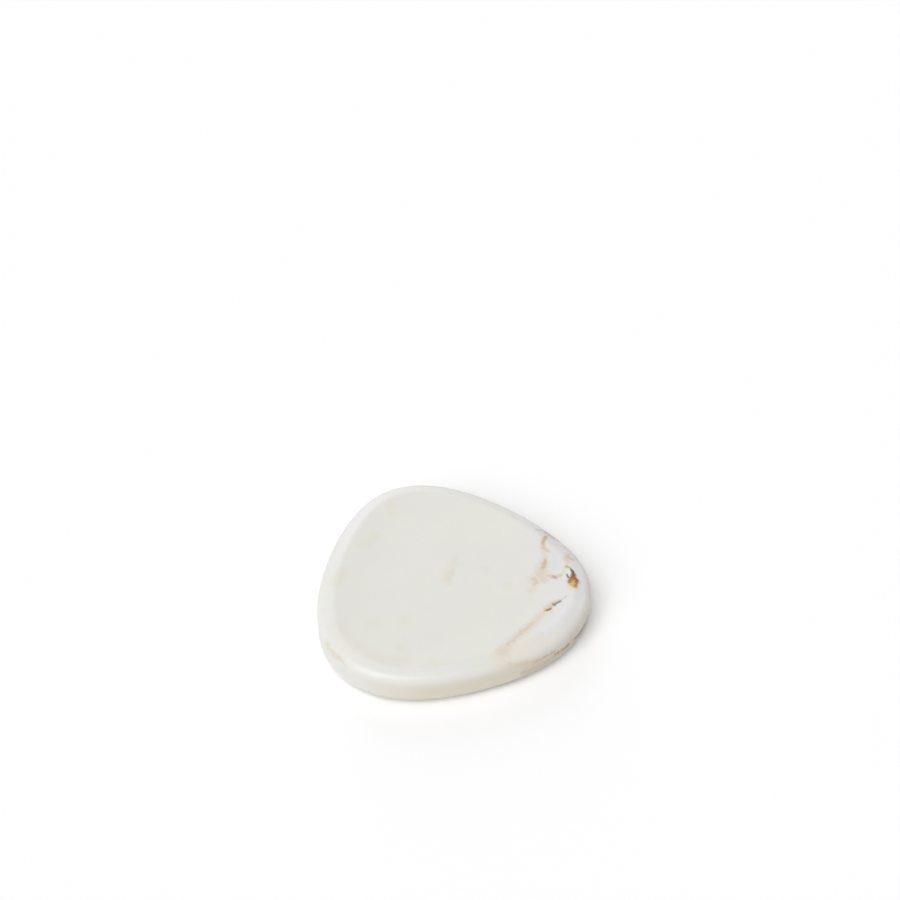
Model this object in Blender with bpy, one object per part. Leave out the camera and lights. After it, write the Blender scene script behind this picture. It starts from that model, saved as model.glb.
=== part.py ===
"""A pebble-shaped marble tray: one slab of stone with a shallow dish in its top, on four clear bumper feet.

Metres, +Z up. The tray's length runs along X and its width along Y. The origin is on the table,
under the middle of the tray.
"""

import math

import bmesh
import bpy

# The stone's overall sizes
LENGTH = 0.137
WIDTH = 0.132
THICKNESS = 0.019

# The stone's soft lower edge
BASE_RADIUS = 0.005

# The rim: its rounded outer edge, the length and slope of the straight above that, and its broad crest
RIM_RADIUS = 0.005
RIM_RUN = 0.003
RIM_SLOPE = math.radians(17)
CREST_RADIUS = 0.008

# The dish: how far its flat floor lies below the rim, how steeply it falls there, and the wide curve
# that eases the slope into the floor
DISH_DEPTH = 0.001
DISH_SLOPE = math.radians(4)
DISH_FILLET = 0.15

# The outline's control points, anticlockwise from the narrow end, as shares of the length and the width
OUTLINE_SHARES = (
    (0.566, 0.077),
    (0.109, 0.484),
    (-0.278, 0.541),
    (-0.476, 0.189),
    (-0.54, -0.308),
    (-0.236, -0.562),
    (0.238, -0.421),
    (0.455, -0.255),
)
OUTLINE_ORDER = 4
OUTLINE_STEPS = 12

# The feet: round bumpers that narrow a little towards the table
FOOT_RADIUS = 0.004
FOOT_HEIGHT = 0.0012
FOOT_TAPER = 0.0003
FOOT_EDGE = 0.0003
FOOT_STEPS = 32

# The film of glue between a foot and the stone
GLUE_GAP = 0.0003

# Where each foot's centre is, as shares of the length and the width
FOOT_PLACE_SHARES = {
    "foot_front_left": (-0.27, -0.25),
    "foot_front_right": (0.18, -0.22),
    "foot_back_right": (0.24, 0.12),
    "foot_back_left": (-0.2, 0.25),
}

# How many faces make up each rounding
BASE_FACES = 6
RIM_FACES = 7
OUTER_CREST_FACES = 3
INNER_CREST_FACES = 1
FILLET_FACES = 4
FOOT_EDGE_FACES = 3

SQUARE = math.radians(90)
SHARP_ANGLE = math.radians(40)


def clear_scene():
    for obj in list(bpy.data.objects):
        bpy.data.objects.remove(obj, do_unlink=True)


def make_material(name, color, roughness, ior, transmission=0.0):
    material = bpy.data.materials.new(name)
    material.use_nodes = True
    shader = material.node_tree.nodes["Principled BSDF"]
    shader.inputs["Base Color"].default_value = color
    shader.inputs["Roughness"].default_value = roughness
    shader.inputs["Metallic"].default_value = 0.0
    shader.inputs["IOR"].default_value = ior
    shader.inputs["Transmission Weight"].default_value = transmission
    return material


def marble_material():
    return make_material("marble", (0.79, 0.78, 0.73, 1.0), roughness=0.4, ior=1.5)


def silicone_material():
    return make_material("clear_silicone", (0.9, 0.9, 0.88, 1.0), roughness=0.3, ior=1.41, transmission=0.8)


def outline_loop():
    """The plan of the stone at its widest, as a closed loop of edges in the plane z = 0."""
    curve = bpy.data.curves.new("outline", "CURVE")
    curve.dimensions = "2D"
    curve.fill_mode = "NONE"
    curve.resolution_u = OUTLINE_STEPS
    spline = curve.splines.new("NURBS")
    spline.points.add(len(OUTLINE_SHARES) - 1)
    for point, (length_share, width_share) in zip(spline.points, OUTLINE_SHARES):
        point.co = (length_share * LENGTH, width_share * WIDTH, 0, 1)
    spline.order_u = OUTLINE_ORDER
    spline.use_cyclic_u = True
    guide = bpy.data.objects.new("outline", curve)
    mesh = bpy.data.meshes.new_from_object(guide)
    bpy.data.objects.remove(guide)
    bpy.data.curves.remove(curve)
    return mesh


def fit_plan(bm):
    """Moves and scales the loop so that it is exactly as long and as wide as the stone, about the origin."""
    for axis, size in ((0, LENGTH), (1, WIDTH)):
        places = [vert.co[axis] for vert in bm.verts]
        middle = (min(places) + max(places)) / 2
        scale = size / (max(places) - min(places))
        for vert in bm.verts:
            vert.co[axis] = (vert.co[axis] - middle) * scale


def arc_moves(heading, turn, radius, faces):
    """The (inset, rise) moves along an arc. A heading of 90 degrees climbs, and one of 0 runs inboard."""
    chord = 2 * radius * math.sin(abs(turn) / faces / 2)
    moves = []
    for face in range(faces):
        angle = heading + turn * (face + 0.5) / faces
        moves.append((chord * math.cos(angle), chord * math.sin(angle)))
    return moves


def rim_rise():
    """How far the rim's crest stands above the top of the side wall."""
    edge_rise = RIM_RADIUS * math.cos(RIM_SLOPE)
    straight_rise = RIM_RUN * math.sin(RIM_SLOPE)
    crest_rise = CREST_RADIUS * (1 - math.cos(RIM_SLOPE))
    return edge_rise + straight_rise + crest_rise


def rim_moves():
    """The section from the top of the side wall, over the rim and down into the dish, to its flat floor."""
    rounded_fall = (CREST_RADIUS + DISH_FILLET) * (1 - math.cos(DISH_SLOPE))
    straight_fall = DISH_DEPTH - rounded_fall
    edge = arc_moves(SQUARE, RIM_SLOPE - SQUARE, RIM_RADIUS, RIM_FACES)
    straight = [(RIM_RUN * math.cos(RIM_SLOPE), RIM_RUN * math.sin(RIM_SLOPE))]
    outer_crest = arc_moves(RIM_SLOPE, -RIM_SLOPE, CREST_RADIUS, OUTER_CREST_FACES)
    inner_crest = arc_moves(0, -DISH_SLOPE, CREST_RADIUS, INNER_CREST_FACES)
    slope = [(straight_fall / math.tan(DISH_SLOPE), -straight_fall)]
    fillet = arc_moves(-DISH_SLOPE, DISH_SLOPE, DISH_FILLET, FILLET_FACES)
    return edge + straight + outer_crest + inner_crest + slope + fillet


def base_moves():
    """The section round the lower edge, from the foot of the side wall to the flat underside."""
    return arc_moves(SQUARE, -SQUARE, BASE_RADIUS, BASE_FACES)


def inset_along(bm, face, moves):
    """Insets a face step by step, so that its edge leaves a ring of faces behind it at each step."""
    for inset, rise in moves:
        bmesh.ops.inset_individual(bm, faces=[face], thickness=inset, depth=rise, use_even_offset=True)


def marble_mesh():
    """The stone: its outline raised to a slab, then the lower edge, the rim and the dish, step by step."""
    mesh = outline_loop()
    bm = bmesh.new()
    bm.from_mesh(mesh)
    fit_plan(bm)
    underside_height = FOOT_HEIGHT + GLUE_GAP
    wall_height = THICKNESS - BASE_RADIUS - rim_rise()
    bmesh.ops.translate(bm, verts=bm.verts, vec=(0, 0, underside_height + BASE_RADIUS))
    plan = bmesh.ops.edgeloop_fill(bm, edges=bm.edges)["faces"]
    raised = bmesh.ops.extrude_face_region(bm, geom=plan, use_keep_orig=True)["geom"]
    top_verts = [item for item in raised if isinstance(item, bmesh.types.BMVert)]
    bmesh.ops.translate(bm, verts=top_verts, vec=(0, 0, wall_height))
    bmesh.ops.recalc_face_normals(bm, faces=bm.faces)
    top = max(bm.faces, key=lambda face: face.normal.z)
    bottom = min(bm.faces, key=lambda face: face.normal.z)
    inset_along(bm, top, rim_moves())
    inset_along(bm, bottom, base_moves())
    bm.to_mesh(mesh)
    bm.free()
    return mesh


def foot_mesh():
    """One bumper, with its wide flat side up at z = 0 and the edge that meets the table rounded."""
    bm = bmesh.new()
    bmesh.ops.create_cone(
        bm,
        cap_ends=True,
        segments=FOOT_STEPS,
        radius1=FOOT_RADIUS - FOOT_TAPER,
        radius2=FOOT_RADIUS,
        depth=FOOT_HEIGHT,
    )
    bmesh.ops.translate(bm, verts=bm.verts, vec=(0, 0, -FOOT_HEIGHT / 2))
    lowest = min(bm.faces, key=lambda face: face.normal.z)
    bmesh.ops.bevel(
        bm,
        geom=list(lowest.edges),
        offset=FOOT_EDGE,
        offset_type="OFFSET",
        segments=FOOT_EDGE_FACES,
        profile=0.5,
        affect="EDGES",
    )
    mesh = bpy.data.meshes.new("foot")
    bm.to_mesh(mesh)
    bm.free()
    return mesh


def add_part(collection, name, mesh, material, place=(0, 0, 0)):
    if not mesh.materials:
        mesh.materials.append(material)
    mesh.shade_smooth()
    mesh.set_sharp_from_angle(angle=SHARP_ANGLE)
    part = bpy.data.objects.new(name, mesh)
    part.location = place
    collection.objects.link(part)
    return part


def main():
    clear_scene()
    tray = bpy.data.collections.new("marble_tray")
    bpy.context.scene.collection.children.link(tray)
    stone = marble_mesh()
    stone.name = "marble_body"
    add_part(tray, "marble_body", stone, marble_material())
    foot = foot_mesh()
    silicone = silicone_material()
    for name, (length_share, width_share) in FOOT_PLACE_SHARES.items():
        place = (length_share * LENGTH, width_share * WIDTH, FOOT_HEIGHT)
        add_part(tray, name, foot, silicone, place)


main()
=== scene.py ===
import math

import bpy
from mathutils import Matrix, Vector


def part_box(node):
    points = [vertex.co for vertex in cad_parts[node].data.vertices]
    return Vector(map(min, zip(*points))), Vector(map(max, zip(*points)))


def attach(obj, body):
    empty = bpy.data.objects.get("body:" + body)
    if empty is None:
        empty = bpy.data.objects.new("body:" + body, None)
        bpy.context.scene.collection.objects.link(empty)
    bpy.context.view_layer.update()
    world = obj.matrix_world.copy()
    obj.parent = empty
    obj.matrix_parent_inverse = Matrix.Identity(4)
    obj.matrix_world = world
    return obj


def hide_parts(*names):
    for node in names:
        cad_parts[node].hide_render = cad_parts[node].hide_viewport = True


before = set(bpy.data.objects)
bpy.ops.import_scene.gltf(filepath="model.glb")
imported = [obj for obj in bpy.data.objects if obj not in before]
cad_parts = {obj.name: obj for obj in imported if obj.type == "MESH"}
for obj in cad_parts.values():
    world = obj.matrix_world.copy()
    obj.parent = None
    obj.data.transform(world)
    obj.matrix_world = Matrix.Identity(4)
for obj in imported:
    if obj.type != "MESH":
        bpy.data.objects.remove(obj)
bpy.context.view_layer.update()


# The stone. One slab of pale marble is sawn to a pebble's outline, its rim is rounded over, a shallow
# dish is ground into its top, and all of it is honed to a soft satin. Its section runs from the underside
# out and up the side, over the rim and down to the dish's floor, and is swept round the outline.
stone_low, stone_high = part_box("marble_body")
stone_length = stone_high.x - stone_low.x
stone_width = stone_high.y - stone_low.y
stone_thickness = stone_high.z - stone_low.z
base_radius = 0.005
rim_radius = 0.005
rim_slope = math.radians(17)
rim_run = 0.003
crest_radius = 0.008
dish_slope = math.radians(4)
dish_depth = 0.001
dish_fillet = 0.15
flat_margin = 0.003

# The outline's control points, anticlockwise from the narrow end, as shares of the length and the width
outline_shares = (
    (0.566, 0.077),
    (0.109, 0.484),
    (-0.278, 0.541),
    (-0.476, 0.189),
    (-0.54, -0.308),
    (-0.236, -0.562),
    (0.238, -0.421),
    (0.455, -0.255),
)
outline_points = 480

# How smoothly curves run, how finely they and arcs are cut, and how near points are sewn into one
curve_order = 4
curve_steps = 200
quarter_turn = math.radians(90)
arc_step = math.radians(2)
fewest_arc_steps = 4
sewing_distance = 0.000002


def curve_object(name, points, kind, closed):
    """A curve through or near the given points, for a node tree to read."""
    data = bpy.data.curves.new(name, "CURVE")
    data.dimensions = "3D"
    data.resolution_u = curve_steps
    spline = data.splines.new(kind)
    spline.points.add(len(points) - 1)
    for point, place in zip(spline.points, points):
        point.co = (*place, 1)
    spline.use_cyclic_u = closed
    spline.order_u = curve_order
    obj = bpy.data.objects.new(name, data)
    bpy.context.scene.collection.objects.link(obj)
    return obj


def arc_moves(heading, turn, radius):
    """(inset, rise) moves along an arc: a heading of 0 runs inboard, and a quarter turn climbs."""
    steps = max(fewest_arc_steps, round(abs(turn) / arc_step))
    chord = 2 * radius * math.sin(abs(turn) / steps / 2)
    headings = [heading + turn * (step + 0.5) / steps for step in range(steps)]
    return [(chord * math.cos(angle), chord * math.sin(angle)) for angle in headings]


def section_points():
    """The section as (inset, height) points, from the underside, out and up the side, to the dish."""
    rounded_fall = (crest_radius + dish_fillet) * (1 - math.cos(dish_slope))
    straight_fall = dish_depth - rounded_fall
    crest_rise = crest_radius * (1 - math.cos(rim_slope))
    rim_rise = rim_radius * math.cos(rim_slope) + rim_run * math.sin(rim_slope) + crest_rise
    moves = [(-flat_margin, 0)]
    moves += arc_moves(2 * quarter_turn, -quarter_turn, base_radius)
    moves += [(0, stone_thickness - base_radius - rim_rise)]
    moves += arc_moves(quarter_turn, rim_slope - quarter_turn, rim_radius)
    moves += [(rim_run * math.cos(rim_slope), rim_run * math.sin(rim_slope))]
    moves += arc_moves(rim_slope, -rim_slope, crest_radius)
    moves += arc_moves(0, -dish_slope, crest_radius)
    moves += [(straight_fall / math.tan(dish_slope), -straight_fall)]
    moves += arc_moves(-dish_slope, dish_slope, dish_fillet)
    moves += [(flat_margin, 0)]
    inset = base_radius + flat_margin
    height = stone_low.z
    points = [(inset, height)]
    for across, up in moves:
        inset += across
        height += up
        points.append((inset, height))
    return points


def new_tree(name, inputs):
    """A geometry node tree with named inputs and one geometry output."""
    tree = bpy.data.node_groups.new(name, "GeometryNodeTree")
    for title, socket in inputs:
        tree.interface.new_socket(title, in_out="INPUT", socket_type=socket)
    tree.interface.new_socket("Geometry", in_out="OUTPUT", socket_type="NodeSocketGeometry")
    return tree


def add_node(tree, kind, inputs=None, **settings):
    """Adds a node, sets its properties, and links or fills its inputs by name or by number."""
    node = tree.nodes.new(kind)
    for key, value in settings.items():
        setattr(node, key, value)
    for key, value in (inputs or {}).items():
        if isinstance(value, bpy.types.NodeSocket):
            tree.links.new(value, node.inputs[key])
        else:
            node.inputs[key].default_value = value
    return node


def calc(tree, operation, *values):
    """One step of arithmetic on numbers or sockets."""
    return add_node(tree, "ShaderNodeMath", dict(enumerate(values)), operation=operation).outputs["Value"]


def move_place(tree, operation, *values, scale=None):
    """One step of arithmetic on places or colours; only the operation SCALE takes a scale."""
    inputs = dict(enumerate(values))
    if scale is not None:
        inputs["Scale"] = scale
    return add_node(tree, "ShaderNodeVectorMath", inputs, operation=operation).outputs["Vector"]


def run_tree(name, tree, values):
    """Runs a geometry tree once, and returns its result as a plain mesh object at the origin."""
    host = bpy.data.objects.new(name, bpy.data.meshes.new(name))
    bpy.context.scene.collection.objects.link(host)
    modifier = host.modifiers.new("shape", "NODES")
    modifier.node_group = tree
    for item in tree.interface.items_tree:
        if item.in_out == "INPUT":
            modifier[item.identifier] = values[item.name]
    graph = bpy.context.evaluated_depsgraph_get()
    mesh = bpy.data.meshes.new_from_object(host.evaluated_get(graph))
    mesh.name = name
    # Joining leaves an empty first material slot
    mesh.materials.pop(index=0)
    host.modifiers.clear()
    host.data = mesh
    return host


def slab_tree():
    """A section swept round an outline, with a flat floor and a flat underside that close it."""
    tree = new_tree(
        "swept_slab",
        (
            ("Outline", "NodeSocketObject"),
            ("Section", "NodeSocketObject"),
            ("Size", "NodeSocketVector"),
            ("Place", "NodeSocketVector"),
            ("Points Round", "NodeSocketInt"),
            ("Underside Inset", "NodeSocketFloat"),
            ("Underside Height", "NodeSocketFloat"),
            ("Floor Inset", "NodeSocketFloat"),
            ("Floor Height", "NodeSocketFloat"),
            ("Sewing Distance", "NodeSocketFloat"),
            ("Material", "NodeSocketMaterial"),
        ),
    )
    given = tree.nodes.new("NodeGroupInput").outputs

    # The outline, evenly spaced, centred and scaled to the piece's size
    drawn = add_node(tree, "GeometryNodeObjectInfo", {"Object": given["Outline"]}).outputs["Geometry"]
    spacing = {"Curve": drawn, "Count": given["Points Round"]}
    even = add_node(tree, "GeometryNodeResampleCurve", spacing).outputs["Curve"]
    extent = add_node(tree, "GeometryNodeBoundBox", {"Geometry": even, "Use Radius": False}).outputs
    spread = move_place(tree, "SUBTRACT", extent["Max"], extent["Min"])
    middle = move_place(tree, "SCALE", move_place(tree, "ADD", extent["Max"], extent["Min"]), scale=0.5)
    growth = move_place(tree, "DIVIDE", given["Size"], spread)
    place = add_node(tree, "GeometryNodeInputPosition").outputs["Position"]
    fitted = move_place(tree, "MULTIPLY", move_place(tree, "SUBTRACT", place, middle), growth)
    fitting = {"Geometry": even, "Position": fitted}
    outline = add_node(tree, "GeometryNodeSetPosition", fitting).outputs["Geometry"]
    upright = add_node(tree, "GeometryNodeSetCurveNormal", {"Curve": outline}, mode="Z_UP").outputs["Curve"]

    # The section swept round it
    section = add_node(tree, "GeometryNodeObjectInfo", {"Object": given["Section"]}).outputs["Geometry"]
    sweep = {"Curve": upright, "Profile Curve": section}
    band = add_node(tree, "GeometryNodeCurveToMesh", sweep).outputs["Mesh"]

    # The underside and the floor, each a flat sheet within the outline
    outward = add_node(tree, "GeometryNodeInputNormal").outputs["Normal"]
    caps = []
    for end in ("Underside", "Floor"):
        inward = calc(tree, "MULTIPLY", given[end + " Inset"], -1.0)
        shift = move_place(tree, "SCALE", outward, scale=inward)
        shrunk = add_node(tree, "GeometryNodeSetPosition", {"Geometry": upright, "Offset": shift})
        filling = {"Curve": shrunk.outputs["Geometry"]}
        sheet = add_node(tree, "GeometryNodeFillCurve", filling, mode="NGONS").outputs["Mesh"]
        lift = add_node(tree, "ShaderNodeCombineXYZ", {"Z": given[end + " Height"]}).outputs["Vector"]
        lifted = add_node(tree, "GeometryNodeTransform", {"Geometry": sheet, "Translation": lift})
        caps.append(lifted.outputs["Geometry"])
    caps[0] = add_node(tree, "GeometryNodeFlipFaces", {"Mesh": caps[0]}).outputs["Mesh"]

    # All three sewn together, and set in their place
    joined = tree.nodes.new("GeometryNodeJoinGeometry")
    for part in (band, *caps):
        tree.links.new(part, joined.inputs["Geometry"])
    sewing = {"Geometry": joined.outputs["Geometry"], "Distance": given["Sewing Distance"]}
    sewn = add_node(tree, "GeometryNodeMergeByDistance", sewing).outputs["Geometry"]
    smooth = add_node(tree, "GeometryNodeSetShadeSmooth", {"Geometry": sewn}).outputs["Geometry"]
    settling = {"Geometry": smooth, "Translation": given["Place"]}
    settled = add_node(tree, "GeometryNodeTransform", settling).outputs["Geometry"]
    real = add_node(tree, "GeometryNodeRealizeInstances", {"Geometry": settled}).outputs["Geometry"]
    finish = {"Geometry": real, "Material": given["Material"]}
    finished = add_node(tree, "GeometryNodeSetMaterial", finish).outputs["Geometry"]
    result = tree.nodes.new("NodeGroupOutput")
    tree.links.new(finished, result.inputs["Geometry"])
    return tree


def swept_piece(name, outline, section, size, place, points_round, material):
    """Sweeps a section, from its underside to its top, round an outline, and closes it at both ends."""
    profile = [(-inset, -height, 0) for inset, height in reversed(section)]
    outline_guide = curve_object(name + "_outline", outline, "NURBS", True)
    section_guide = curve_object(name + "_section", profile, "POLY", False)
    piece = run_tree(
        name,
        slab_tree(),
        {
            "Outline": outline_guide,
            "Section": section_guide,
            "Size": size,
            "Place": place,
            "Points Round": points_round,
            "Underside Inset": section[0][0],
            "Underside Height": section[0][1],
            "Floor Inset": section[-1][0],
            "Floor Height": section[-1][1],
            "Sewing Distance": sewing_distance,
            "Material": material,
        },
    )
    bpy.data.objects.remove(outline_guide)
    bpy.data.objects.remove(section_guide)
    return piece


# Every mark on the stone has a colour, a strength, a raggedness and a course: places in millimetres,
# with the mark's half-width at each. The marks of the top have no height. The soft ones come first:
# milky and lilac patches at the narrow end, and cream and green ones elsewhere
soft_marks = {
    "cream slope": (
        (0.81, 0.77, 0.69),
        0.85,
        0.15,
        ((20, -52, 4), (33, -47.5, 4.5), (44.5, -41, 4.2), (51, -35.5, 2.6)),
    ),
    "white inside the rim": (
        (0.8, 0.8, 0.805),
        0.85,
        0.1,
        ((45, -36.3, 1.6), (49.8, -31.2, 2), (54.8, -23.6, 2.2), (59.2, -17, 1.8)),
    ),
    # A lighter band along the front right rim: partly cream in the stone, partly painted light on the rim's
    # top where it catches the lamps
    "cream and painted light along the rim": (
        (0.84, 0.815, 0.765),
        0.8,
        0.1,
        (
            (33.5, -50.8, 1.5),
            (44, -44.6, 1.9),
            (52.2, -37.5, 2.1),
            (58, -30.7, 2.1),
            (62.5, -22, 1.9),
            (65, -12.8, 1.6),
        ),
    ),
    "milky oval": ((0.72, 0.73, 0.735), 0.9, 0.1, ((50.5, 14, 2.8), (50.5, 5.5, 3))),
    "lilac spot": ((0.69, 0.68, 0.73), 0.6, 0.1, ((49, 23.5, 1.8),)),
    "green at the back": ((0.75, 0.735, 0.61), 0.65, 0.3, ((-33, 47.5, 2.4), (-32, 43, 2))),
    "green at the left back": ((0.75, 0.735, 0.61), 0.5, 0.3, ((-40.5, 28, 3),)),
    "paler one beside it": ((0.75, 0.73, 0.62), 0.5, 0.3, ((-46, 21, 3.4),)),
    "green at the left rim": ((0.755, 0.735, 0.63), 0.65, 0.3, ((-55, 2.5, 3.2), (-59, -3, 3.4))),
    "long one in the middle": (
        (0.745, 0.715, 0.625),
        0.6,
        0.5,
        ((-0.5, 12, 1.6), (-2.5, 5, 2), (-4.5, -2, 2.6)),
    ),
    "its brown heart": ((0.73, 0.68, 0.575), 0.5, 0.5, ((-2.5, 3.5, 1.2), (-3.8, -0.5, 1.5))),
    "green at the front": ((0.75, 0.735, 0.61), 0.5, 0.3, ((-24.5, -28, 3.4),)),
    "cream at the left front": ((0.745, 0.72, 0.64), 0.4, 0.3, ((-39, -30.5, 4.4),)),
    "spot right of the middle": ((0.75, 0.73, 0.61), 0.5, 0.3, ((15, 5.5, 2.6),)),
    "fainter spot further right": ((0.75, 0.73, 0.61), 0.45, 0.3, ((26.5, -5, 2.3),)),
    "faint spot at the front left": ((0.75, 0.73, 0.62), 0.4, 0.3, ((-26.5, -45.5, 3),)),
    "faint spot on the front rim": ((0.75, 0.73, 0.62), 0.4, 0.3, ((-9.5, -56, 2.4),)),
    # A darker, warmer band along the dish's front left edge: partly cloudiness in the stone, partly painted
    # shade on the inner slope turned from the lamps
    "cream and painted shade round the front left": (
        (0.765, 0.735, 0.67),
        0.55,
        0.2,
        ((-57, -32, 4), (-51, -44.5, 4.5), (-38.5, -52.5, 4), (-24, -55, 3)),
    ),
}
# The long vein across the front right: a tan band, then a dark thread broken in two, and a grey tip
long_vein = {
    "wide foot": ((0.77, 0.715, 0.62), 0.75, 0.3, ((24, -46.5, 2.6), (21.5, -52, 3.2))),
    "band": (
        (0.74, 0.655, 0.57),
        0.85,
        0.2,
        ((44.5, -23, 1.5), (41, -27.5, 2.4), (34.8, -34.8, 2.7), (27.8, -42.5, 2.3), (23.2, -48.5, 2.6)),
    ),
    "core of the band": (
        (0.67, 0.56, 0.44),
        0.65,
        0.7,
        ((38, -30.4, 0.8), (35, -34.4, 1), (31.8, -38.2, 1), (26, -44.3, 0.7)),
    ),
    "halo of the thread": (
        (0.7, 0.6, 0.48),
        0.8,
        0.3,
        ((44.8, -20.6, 1.4), (48.6, -17.6, 1.3), (51.5, -15.8, 0.9)),
    ),
    "link in the thread": ((0.6, 0.52, 0.43), 0.8, 0.3, ((46.8, -21, 0.7), (49.2, -18.6, 0.9))),
    "pink beside it": ((0.765, 0.67, 0.62), 0.7, 0.3, ((46.2, -24, 1.2), (48, -22.8, 1))),
    "ochre end": ((0.64, 0.44, 0.18), 0.9, 0.15, ((44.7, -21.9, 0.8), (46, -21.7, 0.8))),
    "brown dash": ((0.2, 0.13, 0.055), 0.9, 0.15, ((45.6, -22.1, 0.7), (47.2, -21.4, 0.65))),
    "grey dash": (
        (0.23, 0.185, 0.13),
        0.9,
        0.3,
        ((49.3, -18.6, 0.85), (50.3, -17.9, 0.7), (51.5, -17.2, 0.75), (52.5, -16.5, 0.55)),
    ),
    "grey tip": ((0.52, 0.47, 0.42), 0.5, 0.4, ((52.4, -16.1, 0.5), (55.5, -13.2, 0.4))),
}
# The rusty knot near the narrow end: its tan root, a dark hook, an amber body and a grey fleck
rusty_knot = {
    "root": ((0.725, 0.64, 0.53), 0.9, 0.4, ((57.3, 15.2, 1), (57, 12.2, 1.5), (56.5, 8.3, 1))),
    "branch of the root": ((0.66, 0.56, 0.44), 0.75, 0.4, ((57.3, 13, 0.8), (59.6, 11.6, 0.9))),
    "tan beside the fleck": (
        (0.72, 0.66, 0.56),
        0.65,
        0.4,
        ((56, 6, 0.9), (55.3, 3, 0.8), (53.5, 0.6, 0.7)),
    ),
    "tan under the body": ((0.75, 0.69, 0.56), 0.75, 0.3, ((57.8, -7.5, 1.8), (60.8, -8.7, 1.4))),
    "olive start": ((0.53, 0.43, 0.25), 0.9, 0.2, ((56.3, 6, 0.8), (58.2, 4.9, 0.6))),
    "amber body": ((0.53, 0.25, 0.06), 1, 0.1, ((59.6, -0.8, 1.4), (59.3, -3.8, 2.4), (60, -6.9, 1.2))),
    "light in the body": ((0.76, 0.46, 0.15), 0.8, 0.3, ((58.5, -6, 1), (59.4, -5, 1.1))),
    "hook": (
        (0.16, 0.065, 0.02),
        1,
        0.15,
        ((58.6, 4.4, 0.4), (59.3, 2.9, 0.7), (59.8, 0.8, 1), (59.7, -0.9, 1.2)),
    ),
    "red foot of the hook": ((0.4, 0.15, 0.03), 0.85, 0.2, ((59.8, -1.4, 1), (59.9, -2.6, 0.8))),
    "dark left edge": (
        (0.26, 0.12, 0.035),
        0.85,
        0.2,
        ((57.3, -4.3, 0.7), (57.6, -3, 0.8), (58.6, -1.5, 0.7)),
    ),
    "dark right edge": (
        (0.26, 0.09, 0.02),
        0.95,
        0.2,
        ((60.7, -1.6, 0.6), (61.5, -2.9, 0.75), (60.6, -4.3, 0.5)),
    ),
    "brown lower edge": ((0.42, 0.2, 0.05), 0.8, 0.3, ((61.2, -4.4, 0.5), (60.6, -6.8, 0.6))),
    "grey fleck": ((0.14, 0.15, 0.15), 0.95, 0.1, ((56.5, 0.8, 0.4), (57, -1, 0.55))),
}
# The pale rusty net between them, at the back and inwards, and the brown streaks on the rim behind it
pale_net = {
    "first streak on the rim": (
        (0.63, 0.56, 0.49),
        0.75,
        0.4,
        ((42, 32, 0.8), (45.5, 32, 0.9), (48, 30.8, 0.8)),
    ),
    "second streak": ((0.56, 0.49, 0.44), 0.75, 0.4, ((46.4, 30.3, 1.2), (49.3, 27.9, 1.5), (52.2, 26, 1))),
    "third streak": ((0.62, 0.54, 0.48), 0.75, 0.5, ((56, 22.1, 0.8), (59.3, 18, 1.1), (61.5, 14, 1))),
    "faint arc": ((0.73, 0.66, 0.6), 0.6, 0.5, ((49.2, 20.6, 0.8), (52.5, 21.5, 1.1), (55.5, 20.3, 0.9))),
    "halo at the back": ((0.76, 0.695, 0.62), 0.75, 0.4, ((45, 28.5, 1.4), (44.6, 24, 1.7), (45, 19.5, 1.7))),
    "halo in the middle": (
        (0.74, 0.66, 0.58),
        0.8,
        0.4,
        ((45.6, 19.5, 1.4), (45.6, 15, 1.4), (46, 11.5, 1.5)),
    ),
    "broad pink halo": (
        (0.735, 0.63, 0.54),
        0.95,
        0.4,
        ((45, 9, 2.3), (43.7, 4, 3.2), (42.8, 0.5, 2.9), (44.5, -2, 2)),
    ),
    "olive thread": ((0.53, 0.38, 0.22), 0.85, 0.3, ((46.5, 27, 0.7), (45.9, 24.7, 0.95), (45.2, 21.9, 0.8))),
    "tan thread": ((0.67, 0.56, 0.45), 0.8, 0.5, ((45.7, 21, 0.8), (45.9, 18.5, 0.9), (47.6, 16.8, 0.9))),
    "rusty thread": ((0.62, 0.475, 0.345), 0.9, 0.5, ((45.7, 10.9, 0.9), (45.3, 9, 1.1), (44.4, 6.2, 0.9))),
    "curved link": (
        (0.66, 0.54, 0.44),
        0.8,
        0.3,
        ((47, 1, 0.9), (49.3, 0, 1.2), (51, -0.6, 1.3), (53.3, 0.7, 0.8)),
    ),
    "dark middle of the link": ((0.42, 0.32, 0.25), 0.85, 0.3, ((49.6, -0.3, 0.8), (50.5, -1.2, 0.8))),
    "halo at the left": ((0.765, 0.7, 0.6), 0.8, 0.3, ((39.3, -1, 2.3), (39.7, -5, 2.3), (37.8, -9, 1.8))),
    "ochre at the left": ((0.7, 0.57, 0.4), 0.7, 0.4, ((38.9, -0.8, 0.8), (40.6, -2.7, 1), (39.6, -5, 0.8))),
}
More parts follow.
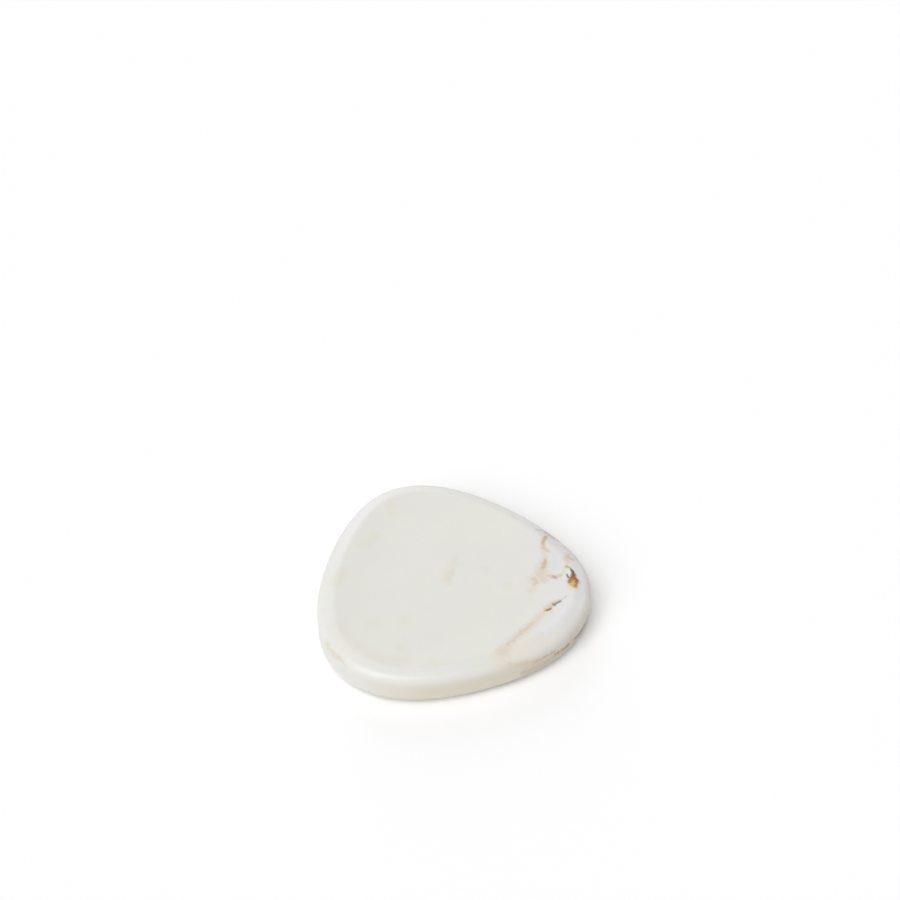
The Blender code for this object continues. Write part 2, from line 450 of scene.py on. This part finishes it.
# The marks round the side, whose places have their height above the table as the third number
side_marks = {
    "cream at the front left": (
        (0.74, 0.705, 0.6),
        0.7,
        0.5,
        ((-63, -41, 16.5, 2.6), (-59.5, -46.5, 17.3, 2.4), (-54, -53, 17, 1.8)),
    ),
    "olive spot in it": ((0.69, 0.66, 0.53), 0.8, 0.3, ((-62, -42, 16.8, 1.3),)),
    "pink streak in it": (
        (0.71, 0.62, 0.56),
        0.7,
        0.8,
        ((-60.6, -44.8, 17.2, 0.9), (-57.2, -49, 17.3, 1), (-54.4, -52.3, 17, 0.9)),
    ),
    # A tan band high on the front right side: partly a vein, partly painted shade just below where the rim
    # turns down
    "upper tan band and painted shade": (
        (0.75, 0.655, 0.51),
        0.85,
        0.4,
        ((27, -54, 17, 1.4), (33, -52, 15, 2), (39, -49, 13, 2), (48, -42.5, 11, 1.8), (56, -35, 9, 1.4)),
    ),
    "lower tan band": (
        (0.64, 0.535, 0.42),
        0.8,
        0.3,
        ((34, -52, 7.5, 2), (44, -46, 7.5, 2.6), (56, -35, 7.5, 3), (63, -24, 7.5, 2.8), (67, -12, 8, 2.2)),
    ),
    "tan at the narrow end": (
        (0.7, 0.64, 0.53),
        0.5,
        0.3,
        ((57, -34.5, 12.5, 2.6), (63.5, -23, 12.5, 2.8), (67, -12, 12.5, 2.6), (68.3, 0, 13, 2)),
    ),
    "tan streak": (
        (0.6, 0.49, 0.36),
        0.7,
        0.6,
        ((39, -49, 12.4, 0.8), (43, -46.3, 12.6, 0.9), (49, -42, 12.6, 0.8)),
    ),
    "brown streak": ((0.38, 0.28, 0.2), 0.9, 0.5, ((50, -41, 9.8, 0.8), (56, -35, 8.6, 1.1))),
    "dark streak": (
        (0.22, 0.18, 0.14),
        0.9,
        0.4,
        ((59, -31, 7.8, 0.7), (63, -24.8, 6.8, 1), (66.2, -15, 7, 0.8)),
    ),
    "its tail round the narrow end": (
        (0.45, 0.36, 0.26),
        0.8,
        0.8,
        ((66.5, -13, 7.2, 0.7), (68, -4, 8, 0.6), (67.5, 6, 10, 0.6), (60, 20, 13, 0.4)),
    ),
}

# Where a mark begins to show and where it is full, as ratios to its half-width, and how much it wobbles
mark_edge = (1.8, 0.2)
mark_wobble = 6.0

# How the marks bend and lean: the lean is sideways for each millimetre below the top
slow_bend = 1.6
quick_bend = 0.9
top_height = 20.0
top_lean = (0.5, -0.4, 0)
top_marks_heights = (11.0, 17.0)

# The marble between the marks. A pattern is its scale, larger for a finer one, and its detail. Other
# pairs say where an effect begins and where it is full: in millimetres, or as shares
cloud_pattern = (0.035, 3.0)
bend_pattern = (0.13, 1.0)
grain_pattern = (0.75, 2.0)
patch_pattern = (0.6, 3.0)
# The rim is painted a little whiter and cooler than the dish wherever the surface tilts away from level:
# partly the stone's tone, partly painted sheen on the rounded rim.
rim_colour_with_painted_sheen = (0.782, 0.777, 0.757, 1)
dish_colour = (0.777, 0.772, 0.728, 1)
dish_levelness = (0.978, 0.9985)
green_colour = (0.777, 0.785, 0.715, 1)
green_shares = (0.42, 0.6)
grey_colour = (0.768, 0.752, 0.72, 1)
grey_shares = (0.45, 0.65)
drift_strength = 0.6
white_colour = (0.765, 0.757, 0.745, 1)
white_end = (34.0, 50.0)
corner_heading = (0.773, -0.634, 0)
corner_distances = (47.0, 54.0)
corner_end = (20.0, 36.0)
# Low on the side, and more so towards the narrow end, the stone is painted darker and warmer: partly its own
# beige, partly painted shade on the side turned from the lamps.
low_beige_and_painted_shade_colour = (0.765, 0.71, 0.59, 1)
warm_heights = (20.0, 11.0)
warm_lengths = (-52.0, -12.0)
warm_unevenness = 0.4
beige_and_painted_shade_strength = 0.75
speckle_depth = 0.03

# The fine veins through the underside and the back, which run where a noise crosses its middle
sheet_middle = 0.5
sheet_scale = 0.016
sheet_detail = 2.5
sheet_roughness = 0.45
below_heights = (5.0, 2.0)
behind_widths = (14.0, 30.0)
behind_heights = (16.0, 12.0)
broken_shares = (0.4, 0.6)
halo_colour = (0.7, 0.63, 0.52, 1)
halo_reach = (0.03, 0.0)
halo_strength = 0.5
thread_colour = (0.42, 0.35, 0.28, 1)
thread_reach = (0.006, 0.001)
thread_strength = 0.7

# The honed surface: its satin, its slight waves and grain, and how far light goes into the stone
satin_roughness = 0.31
dish_dullness = 0.06
satin_unevenness = 0.08
wave_share = 0.12
grain_share = 0.003
surface_depth = 0.001
marble_ior = 1.5
translucence = 0.15
translucence_reach = (1.0, 0.8, 0.6)
translucence_depth = 0.003
millimetres = 1000.0


def keep_share(tree, value):
    """Holds a value between 0 and 1."""
    return add_node(tree, "ShaderNodeClamp", {"Value": value}).outputs["Result"]


def ramp(tree, value, start, end):
    """Eases from 0 to 1 as a value goes from start to end."""
    limits = {"Value": value, "From Min": start, "From Max": end}
    eased = {"interpolation_type": "SMOOTHSTEP", "clamp": False}
    return add_node(tree, "ShaderNodeMapRange", limits, **eased).outputs["Result"]


def blend_colours(tree, share, under, over):
    """Lays one colour over another; a colour mix keeps them in its inputs 6 and 7."""
    return add_node(tree, "ShaderNodeMix", {0: share, 6: under, 7: over}, data_type="RGBA").outputs[2]


def dot(tree, first, second):
    """The dot product of two places, as a number."""
    inputs = {0: first, 1: second}
    return add_node(tree, "ShaderNodeVectorMath", inputs, operation="DOT_PRODUCT").outputs["Value"]


def noise(tree, place, scale, detail):
    """Smooth noise: one share, and three others that differ from it and from each other."""
    made = add_node(tree, "ShaderNodeTexNoise", {"Vector": place, "Scale": scale, "Detail": detail}).outputs
    return made["Fac"], add_node(tree, "ShaderNodeSeparateColor", {0: made["Color"]}).outputs


def bend_place(tree, place, shares, reach):
    """Moves a place by up to the given reach along each axis, as three shares say."""
    wander = add_node(tree, "ShaderNodeCombineXYZ", dict(enumerate(shares))).outputs["Vector"]
    return move_place(tree, "MULTIPLY_ADD", wander, (reach, reach, reach), place)


def stroke_group():
    """How far a place lies from one straight stroke of a vein, as a share of its half-width there."""
    group = bpy.data.node_groups.new("vein_stroke", "ShaderNodeTree")
    for title in ("Place", "Start", "Along"):
        group.interface.new_socket(title, in_out="INPUT", socket_type="NodeSocketVector")
    for title in ("Start Width", "End Width"):
        group.interface.new_socket(title, in_out="INPUT", socket_type="NodeSocketFloat")
    group.interface.new_socket("Ratio", in_out="OUTPUT", socket_type="NodeSocketFloat")
    given = group.nodes.new("NodeGroupInput").outputs
    offset = move_place(group, "SUBTRACT", given["Place"], given["Start"])
    reach = dot(group, offset, given["Along"])
    whole = dot(group, given["Along"], given["Along"])
    share = keep_share(group, calc(group, "DIVIDE", reach, whole))
    gap = move_place(group, "SUBTRACT", offset, move_place(group, "SCALE", given["Along"], scale=share))
    distance = add_node(group, "ShaderNodeVectorMath", {0: gap}, operation="LENGTH").outputs["Value"]
    widths = {0: share, 2: given["Start Width"], 3: given["End Width"]}
    width = add_node(group, "ShaderNodeMix", widths, data_type="FLOAT").outputs[0]
    result = group.nodes.new("NodeGroupOutput")
    group.links.new(calc(group, "DIVIDE", distance, width), result.inputs["Ratio"])
    return group


def draw_marks(tree, group, place, wobble, shown, colour, marks):
    """Draws marks over a colour, ragged by as much as each one asks for. One place alone is a round spot."""
    for tint, strength, ragged, course in marks:
        ratio = None
        for start, end in zip(course, course[1:] or course):
            along = [last - first for first, last in zip(start[:3], end[:3])]
            sizes = {"Start": start[:3], "Along": along, "Start Width": start[3], "End Width": end[3]}
            stroke = add_node(tree, "ShaderNodeGroup", node_tree=group)
            tree.links.new(place, stroke.inputs["Place"])
            for title, size in sizes.items():
                stroke.inputs[title].default_value = size
            nearness = stroke.outputs["Ratio"]
            ratio = nearness if ratio is None else calc(tree, "MINIMUM", ratio, nearness)
        ratio = calc(tree, "MULTIPLY_ADD", wobble, ragged, ratio)
        share = calc(tree, "MULTIPLY", ramp(tree, ratio, *mark_edge), strength)
        colour = blend_colours(tree, calc(tree, "MULTIPLY", share, shown), colour, (*tint, 1))
    return colour


def plain_marble(tree, place, across, level, drifts, bends):
    """The stone between the marks: green or grey in drifts, white at the narrow end, a whiter rim that is
    partly painted sheen, and a beige low on the side that is partly painted shade.
    """
    # The tilted rim takes the whiter colour, which is partly painted sheen
    colour = blend_colours(tree, level, rim_colour_with_painted_sheen, dish_colour)
    greener = calc(tree, "MULTIPLY", ramp(tree, drifts[0], *green_shares), drift_strength)
    colour = blend_colours(tree, greener, colour, green_colour)
    greyer = calc(tree, "MULTIPLY", ramp(tree, drifts[1], *grey_shares), drift_strength)
    colour = blend_colours(tree, greyer, colour, grey_colour)
    beyond = ramp(tree, dot(tree, place, corner_heading), *corner_distances)
    corner = calc(tree, "MULTIPLY", beyond, ramp(tree, across["X"], *corner_end))
    whiter = calc(tree, "MAXIMUM", ramp(tree, across["X"], *white_end), corner)
    colour = blend_colours(tree, whiter, colour, white_colour)
    # Painted shade and beige: darker and warmer low down and towards the narrow end
    beige_and_painted_shade = calc(tree, "MULTIPLY_ADD", bends, warm_unevenness, ramp(tree, across["X"], *warm_lengths))
    beige_and_painted_shade = calc(tree, "MULTIPLY", beige_and_painted_shade, ramp(tree, across["Z"], *warm_heights))
    return blend_colours(tree, calc(tree, "MULTIPLY", beige_and_painted_shade, beige_and_painted_shade_strength), colour, low_beige_and_painted_shade_colour)


def fine_veins(tree, place, across, drift, colour):
    """Thin brown threads in tan halos, broken here and there, on the underside and low on the back."""
    pattern = {"Vector": place, "Scale": sheet_scale, "Detail": sheet_detail, "Roughness": sheet_roughness}
    sheet = add_node(tree, "ShaderNodeTexNoise", pattern).outputs["Fac"]
    sheet = calc(tree, "ABSOLUTE", calc(tree, "SUBTRACT", sheet, sheet_middle))
    below = ramp(tree, across["Z"], *below_heights)
    behind = ramp(tree, across["Y"], *behind_widths)
    behind = calc(tree, "MULTIPLY", behind, ramp(tree, across["Z"], *behind_heights))
    shown = calc(tree, "MAXIMUM", below, behind)
    broken = calc(tree, "MULTIPLY", ramp(tree, drift, *broken_shares), shown)
    faded = calc(tree, "MULTIPLY", broken, halo_strength)
    halo = calc(tree, "MULTIPLY", ramp(tree, sheet, *halo_reach), faded)
    colour = blend_colours(tree, halo, colour, halo_colour)
    faded = calc(tree, "MULTIPLY", broken, thread_strength)
    thread = calc(tree, "MULTIPLY", ramp(tree, sheet, *thread_reach), faded)
    return blend_colours(tree, thread, colour, thread_colour)


def marble_material():
    """Honed pale marble. All its patterns are laid out in millimetres on the stone's own coordinates."""
    material = bpy.data.materials.new("honed_marble")
    material.use_nodes = True
    tree = material.node_tree
    shader = tree.nodes["Principled BSDF"]
    coordinates = tree.nodes.new("ShaderNodeTexCoord").outputs
    place = move_place(tree, "SCALE", coordinates["Object"], scale=millimetres)
    across = add_node(tree, "ShaderNodeSeparateXYZ", {0: place}).outputs
    facing = add_node(tree, "ShaderNodeSeparateXYZ", {0: coordinates["Normal"]}).outputs
    clouds, drifts = noise(tree, place, *cloud_pattern)
    bends, slow_turns = noise(tree, place, *bend_pattern)
    grain, quick_turns = noise(tree, place, *grain_pattern)
    patches = noise(tree, place, *patch_pattern)[0]
    level = ramp(tree, facing["Z"], *dish_levelness)
    colour = plain_marble(tree, place, across, level, drifts, bends)

    # Places are bent a little before the marks are drawn, and the top's marks lean as they go down
    middle_bend = (slow_bend + quick_bend) / 2
    bent = bend_place(tree, place, slow_turns, slow_bend)
    bent = bend_place(tree, bent, quick_turns, quick_bend)
    bent = move_place(tree, "SUBTRACT", bent, (middle_bend, middle_bend, middle_bend))
    depth = calc(tree, "SUBTRACT", top_height, across["Z"])
    upright = move_place(tree, "SUBTRACT", bent, move_place(tree, "SCALE", top_lean, scale=depth))
    plan = move_place(tree, "MULTIPLY", upright, (1, 1, 0))
    upper = ramp(tree, across["Z"], *top_marks_heights)
    broad_wobble = calc(tree, "MULTIPLY_ADD", bends, mark_wobble, -mark_wobble / 2)
    fine_wobble = calc(tree, "MULTIPLY_ADD", patches, mark_wobble, -mark_wobble / 2)
    stroke = stroke_group()
    for marks in (soft_marks, long_vein, rusty_knot, pale_net):
        flat = [(*mark[:3], [(x, y, 0, width) for x, y, width in mark[3]]) for mark in marks.values()]
        wobble = broad_wobble if marks is soft_marks else fine_wobble
        colour = draw_marks(tree, stroke, plan, wobble, upper, colour, flat)
    colour = draw_marks(tree, stroke, bent, fine_wobble, 1.0, colour, side_marks.values())
    colour = fine_veins(tree, bent, across, drifts[2], colour)
    speckle = calc(tree, "MULTIPLY_ADD", grain, speckle_depth, 1 - speckle_depth / 2)
    colour = move_place(tree, "SCALE", colour, scale=speckle)
    tree.links.new(colour, shader.inputs["Base Color"])

    # Honed satin: the dish a little duller than the rim, and both a little uneven
    satin = calc(tree, "MULTIPLY_ADD", level, dish_dullness, satin_roughness)
    satin = calc(tree, "MULTIPLY_ADD", bends, satin_unevenness, satin)
    tree.links.new(satin, shader.inputs["Roughness"])
    height = calc(tree, "MULTIPLY_ADD", grain, grain_share, calc(tree, "MULTIPLY", clouds, wave_share))
    relief = {"Height": height, "Strength": 1.0, "Distance": surface_depth}
    tree.links.new(add_node(tree, "ShaderNodeBump", relief).outputs["Normal"], shader.inputs["Normal"])
    shader.inputs["IOR"].default_value = marble_ior
    shader.inputs["Subsurface Weight"].default_value = translucence
    shader.inputs["Subsurface Radius"].default_value = translucence_reach
    shader.inputs["Subsurface Scale"].default_value = translucence_depth
    return material


stone = swept_piece(
    "marble_stone",
    [(x_share * stone_length, y_share * stone_width, 0) for x_share, y_share in outline_shares],
    section_points(),
    (stone_length, stone_width, 1.0),
    (0, 0, 0),
    outline_points,
    marble_material(),
)
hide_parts("marble_body")
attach(stone, "root")


# The feet. Four clear silicone bumpers, moulded as low discs that narrow towards the table, with a soft
# lower edge. A disc of clear glue as thin as paper holds each one to the underside of the stone. Each is
# one section, turned once round.
foot_edge = 0.0003
foot_taper = 0.0003
glue_inset = 0.0004
glue_clearance = 0.00001
foot_points = 72
circle_corners = 16
silicone_colour = (0.93, 0.94, 0.92, 1)
silicone_ior = 1.41
silicone_clearness = 0.85
haze_pattern = (1.2, 2.0)
haze_roughness = 0.2
haze_unevenness = 0.14
mould_pattern = (6.0, 1.0)
mould_depth = 0.00001


def foot_section(height, glue_height):
    """The section as (inset, height) points, from under the foot, out and up its side, to the glue."""
    side_tilt = math.atan2(foot_taper, height - foot_edge)
    moves = arc_moves(2 * quarter_turn, -quarter_turn - side_tilt, foot_edge)
    points = [(foot_taper + foot_edge, 0)]
    for across, up in moves:
        points.append((points[-1][0] + across, points[-1][1] + up))
    points += [(0, height), (glue_inset, height), (glue_inset, glue_height), (2 * glue_inset, glue_height)]
    return points


def silicone_material():
    """Clear moulded silicone, a little hazy, with a fine unevenness from its mould."""
    material = bpy.data.materials.new("soft_silicone")
    material.use_nodes = True
    tree = material.node_tree
    shader = tree.nodes["Principled BSDF"]
    shader.inputs["Base Color"].default_value = silicone_colour
    shader.inputs["IOR"].default_value = silicone_ior
    shader.inputs["Transmission Weight"].default_value = silicone_clearness
    coordinates = tree.nodes.new("ShaderNodeTexCoord").outputs
    place = move_place(tree, "SCALE", coordinates["Object"], scale=millimetres)
    haze = noise(tree, place, *haze_pattern)[0]
    roughness = calc(tree, "MULTIPLY_ADD", haze, haze_unevenness, haze_roughness)
    tree.links.new(roughness, shader.inputs["Roughness"])
    mould = noise(tree, place, *mould_pattern)[0]
    relief = {"Height": mould, "Strength": 1.0, "Distance": mould_depth}
    tree.links.new(add_node(tree, "ShaderNodeBump", relief).outputs["Normal"], shader.inputs["Normal"])
    return material


foot_silicone = silicone_material()
circle = [quarter_turn * 4 * step / circle_corners for step in range(circle_corners)]
for place_name in ("front_left", "front_right", "back_right", "back_left"):
    node_name = "foot_" + place_name
    foot_low, foot_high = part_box(node_name)
    foot_width = foot_high.x - foot_low.x
    middle = (foot_low + foot_high) / 2
    foot = swept_piece(
        "bumper_" + place_name,
        [(math.cos(angle), math.sin(angle), 0) for angle in circle],
        foot_section(foot_high.z - foot_low.z, stone_low.z - foot_low.z - glue_clearance),
        (foot_width, foot_width, 1.0),
        (middle.x, middle.y, foot_low.z),
        foot_points,
        foot_silicone,
    )
    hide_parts(node_name)
    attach(foot, "root")


# The studio. A plain pale floor under an even white surround, with three broad soft lamps: a high one and
# a lower one at the front left, and a low one behind. The camera, gloss and the clear feet see the floor
# and the surround as white, and the floor keeps the tray's shadow.
floor_size = 6.0
floor_colour = (0.9, 0.9, 0.9, 1)
shown_floor_colour = (0.95, 0.955, 0.965, 1)
shown_floor_glow = (1.0, 0.95, 0.9, 1)
shown_floor_glow_strength = 0.088
surround_colour = (1, 1, 1, 1)
surround_strength = 0.385
shown_surround_strength = 1.0


def seen_share(tree):
    """1 for what the camera, a gloss or a clear material sees, and 0 for the light that falls on things."""
    rays = tree.nodes.new("ShaderNodeLightPath").outputs
    seen = calc(tree, "MAXIMUM", rays["Is Camera Ray"], rays["Is Glossy Ray"])
    return calc(tree, "MAXIMUM", seen, rays["Is Transmission Ray"])


def floor_material():
    material = bpy.data.materials.new("studio_floor")
    material.use_nodes = True
    tree = material.node_tree
    tree.nodes.clear()
    lit = add_node(tree, "ShaderNodeBsdfDiffuse", {"Color": floor_colour}).outputs["BSDF"]
    pale = add_node(tree, "ShaderNodeBsdfDiffuse", {"Color": shown_floor_colour}).outputs["BSDF"]
    glowing = {"Color": shown_floor_glow, "Strength": shown_floor_glow_strength}
    glow = add_node(tree, "ShaderNodeEmission", glowing).outputs["Emission"]
    bright = add_node(tree, "ShaderNodeAddShader", {0: pale, 1: glow}).outputs["Shader"]
    mixed = add_node(tree, "ShaderNodeMixShader", {"Fac": seen_share(tree), 1: lit, 2: bright})
    output = tree.nodes.new("ShaderNodeOutputMaterial")
    tree.links.new(mixed.outputs["Shader"], output.inputs["Surface"])
    return material


def studio_world():
    world = bpy.data.worlds.new("studio")
    world.use_nodes = True
    tree = world.node_tree
    tree.nodes.clear()
    falling = {"Color": surround_colour, "Strength": surround_strength}
    lit = add_node(tree, "ShaderNodeBackground", falling).outputs["Background"]
    showing = {"Color": surround_colour, "Strength": shown_surround_strength}
    white = add_node(tree, "ShaderNodeBackground", showing).outputs["Background"]
    mixed = add_node(tree, "ShaderNodeMixShader", {"Fac": seen_share(tree), 1: lit, 2: white})
    output = tree.nodes.new("ShaderNodeOutputWorld")
    tree.links.new(mixed.outputs["Shader"], output.inputs["Surface"])
    return world


def soft_lamp(name, azimuth, height, spread, strength):
    """A broad, even light from far off: where it stands round the tray, how high, and how wide it looks."""
    data = bpy.data.lights.new(name, "SUN")
    data.angle = math.radians(spread)
    data.energy = strength * math.pi
    lamp = bpy.data.objects.new(name, data)
    lamp.rotation_euler = (0, quarter_turn - math.radians(height), math.radians(azimuth))
    bpy.context.scene.collection.objects.link(lamp)


bpy.ops.mesh.primitive_plane_add(size=floor_size, location=(0, 0, 0))
floor = bpy.context.object
floor.name = "studio_floor"
floor.data.materials.append(floor_material())
bpy.context.scene.world = studio_world()
soft_lamp("key_lamp", azimuth=232, height=62, spread=42, strength=0.437)
soft_lamp("side_lamp", azimuth=226, height=33, spread=28, strength=0.205)
soft_lamp("back_lamp", azimuth=101, height=25, spread=42, strength=0.175)


# The camera. A long lens looks down on the tray from in front, from a little over a metre away, as in the
# photograph, with the tray below the middle of the frame.
camera_place = (-0.0023, -0.69922, 0.82756)
camera_dip = math.radians(45.71)
lens_length = 85
sensor_width = 36

camera_data = bpy.data.cameras.new("camera")
camera_data.lens = lens_length
camera_data.sensor_width = sensor_width
camera = bpy.data.objects.new("camera", camera_data)
camera.location = camera_place
camera.rotation_euler = (quarter_turn - camera_dip, 0, 0)
bpy.context.scene.collection.objects.link(camera)
bpy.context.scene.camera = camera
bpy.context.scene.view_settings.view_transform = "Standard"
